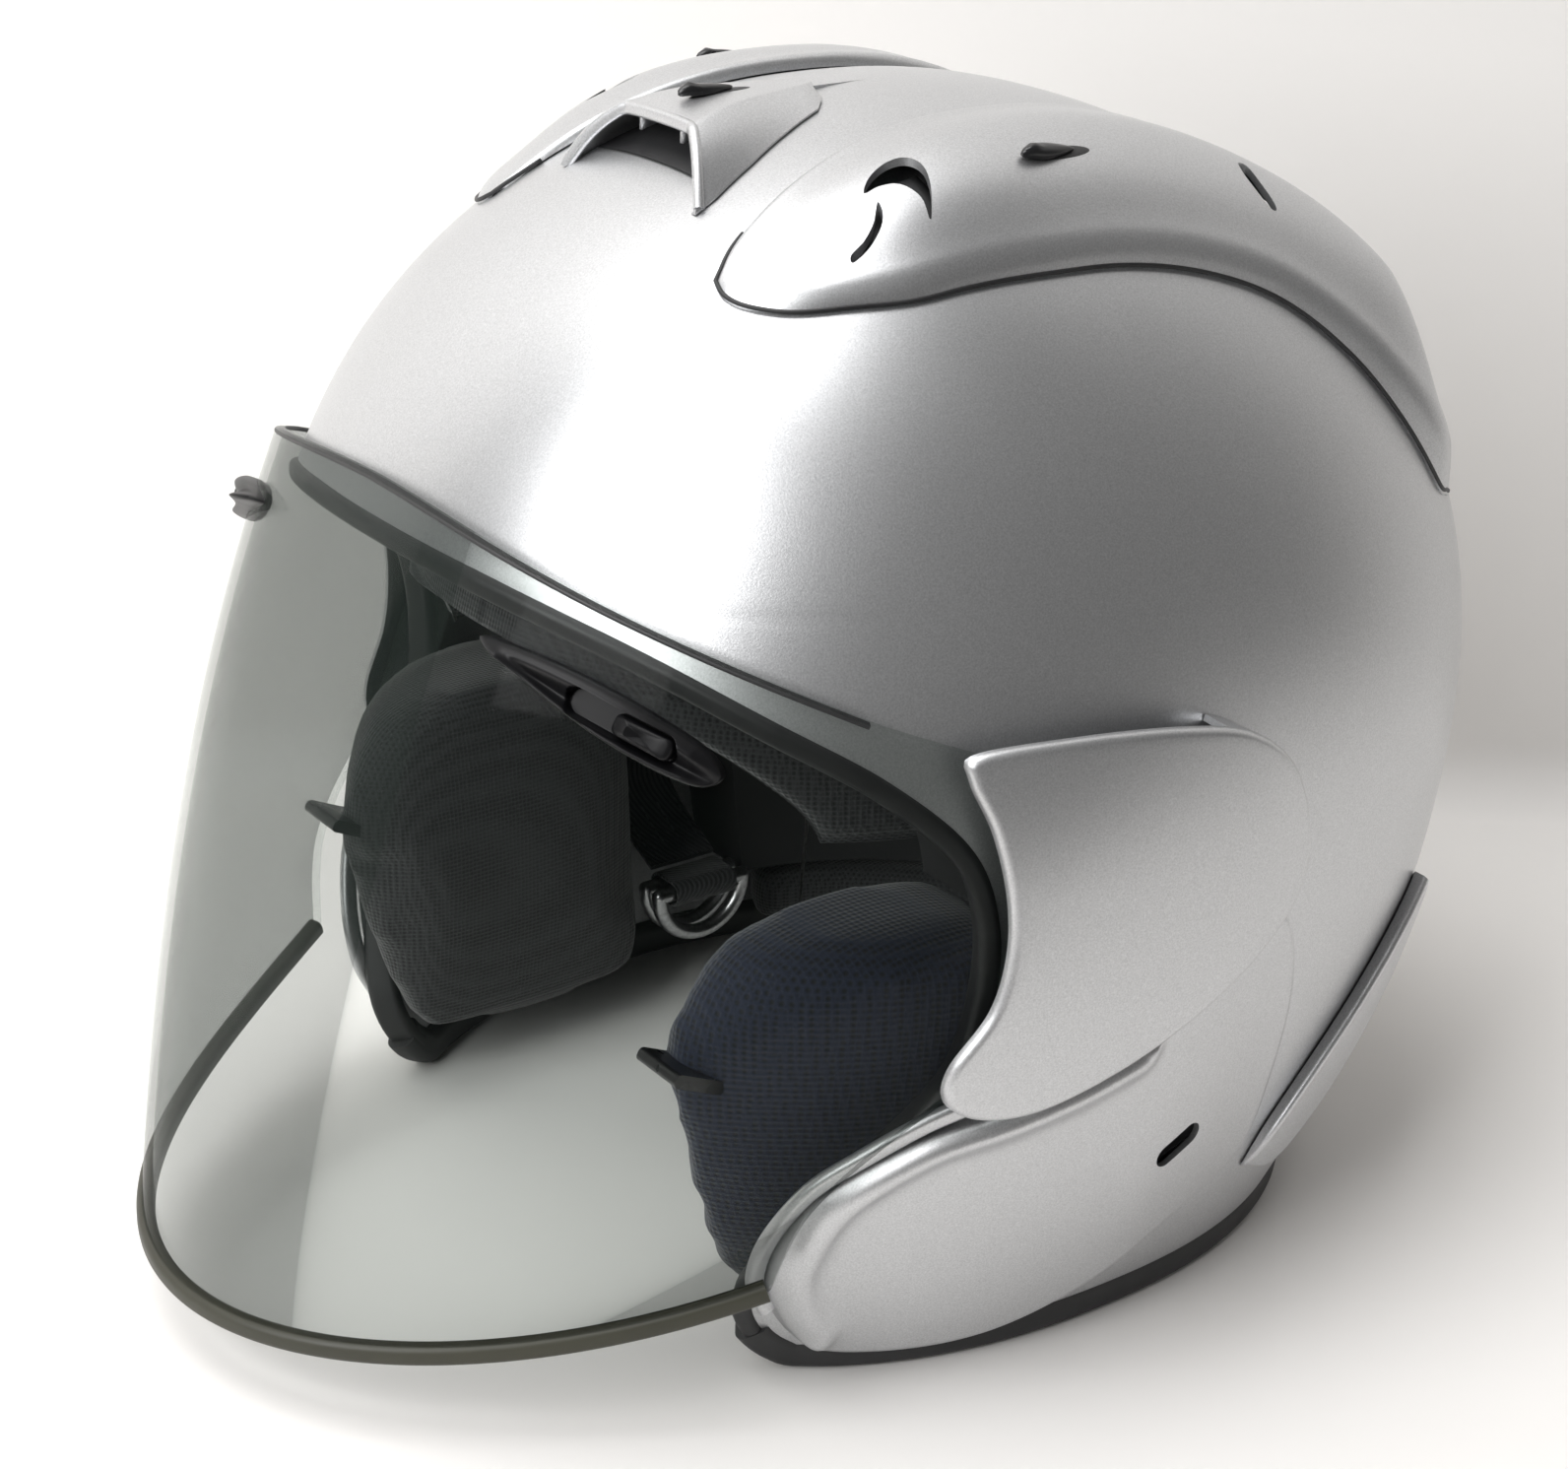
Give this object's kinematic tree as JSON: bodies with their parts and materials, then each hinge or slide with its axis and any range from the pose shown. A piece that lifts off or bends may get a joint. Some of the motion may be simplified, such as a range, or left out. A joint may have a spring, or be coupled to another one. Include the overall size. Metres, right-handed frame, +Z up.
{
  "type": "open face motorcycle helmet",
  "caption": "Open face motorcycle helmet with a long clear flip-up face shield, side pods over its pivots, crown air ducts, padded liner and chin straps.",
  "frame": {"origin": "on the floor under the middle of the helmet's overall length and width", "axes": "+X towards the wearer's front, +Y towards the wearer's left, +Z up"},
  "size_m": [0.3226, 0.262, 0.2588],
  "materials": {
    "silver_paint": "frosted silver metallic lacquer",
    "foam_liner": "moulded bead foam",
    "black_rubber": "satin",
    "olive_rubber": "matt",
    "clear_shield": "hard coated clear polycarbonate, faintly green grey",
    "black_plastic": "gloss",
    "mesh_fabric": "spacer mesh",
    "webbing": "woven webbing",
    "steel": "satin"
  },
  "bodies": {
    "helmet": {"base_trim": "black_rubber", "cheek_pad_left": "mesh_fabric", "cheek_pad_right": "mesh_fabric", "cheek_tab_left": "black_plastic", "cheek_tab_right": "black_plastic", "chin_strap_long": "webbing", "chin_strap_short": "webbing", "crown_pad": "mesh_fabric", "diffuser_left": "silver_paint", "diffuser_right": "silver_paint", "eps_liner": "foam_liner", "eyeport_trim": "black_rubber", "neck_outlet_left": "silver_paint", "neck_outlet_right": "silver_paint", "neck_roll": "mesh_fabric", "outer_shell": "silver_paint", "pivot_plate_left": "black_plastic", "pivot_plate_right": "black_plastic", "side_cowl_left": "silver_paint", "side_cowl_right": "silver_paint", "side_pod_left": "silver_paint", "side_pod_right": "silver_paint", "strap_rivets": "steel", "top_duct_cover": "silver_paint"},
    "shield": {"shield_lens": "clear_shield", "shield_edge_trim": "olive_rubber", "shield_hub_left": "black_plastic", "shield_hub_right": "black_plastic", "brow_vent_frame_left": "black_plastic", "brow_vent_frame_right": "black_plastic"},
    "brow_slider_left": {"brow_vent_slider_left": "black_plastic"},
    "brow_slider_right": {"brow_vent_slider_right": "black_plastic"},
    "duct_shutter": {"top_duct_shutter": "black_plastic"},
    "lever_left": {"diffuser_lever_left": "black_plastic"},
    "lever_right": {"diffuser_lever_right": "black_plastic"},
    "ring_outer": {"d_ring_outer": "steel"},
    "ring_inner": {"d_ring_inner": "steel"}
  },
  "joints": [
    {"name": "shield_lift", "type": "hinge", "parent": "helmet", "child": "shield", "pos_m": [-0.01822, 0, 0.125], "axis": [0, -1, 0], "range_deg": [0, 32]},
    {"name": "brow_slider_left", "type": "slide", "parent": "shield", "child": "brow_slider_left", "axis": [0.4523, -0.8369, 0.3082], "range_m": [0, 0.01]},
    {"name": "brow_slider_right", "type": "slide", "parent": "shield", "child": "brow_slider_right", "axis": [0.4523, 0.8369, 0.3082], "range_m": [0, 0.01]},
    {"name": "duct_shutter", "type": "slide", "parent": "helmet", "child": "duct_shutter", "axis": [-0.9992, 0, 0.041], "range_m": [0, 0.007]},
    {"name": "lever_left", "type": "slide", "parent": "helmet", "child": "lever_left", "axis": [-0.9999, 0, -0.0142], "range_m": [0, 0.007]},
    {"name": "lever_right", "type": "slide", "parent": "helmet", "child": "lever_right", "axis": [-0.9999, 0, -0.0142], "range_m": [0, 0.007]},
    {"name": "ring_outer", "type": "hinge", "parent": "helmet", "child": "ring_outer", "pos_m": [-0.02622, -0.0791, 0.03], "axis": [1, 0, 0], "range_deg": [-25, 0]},
    {"name": "ring_inner", "type": "hinge", "parent": "helmet", "child": "ring_inner", "pos_m": [-0.02622, -0.0729, 0.03], "axis": [1, 0, 0], "range_deg": [0, 60]}
  ]
}
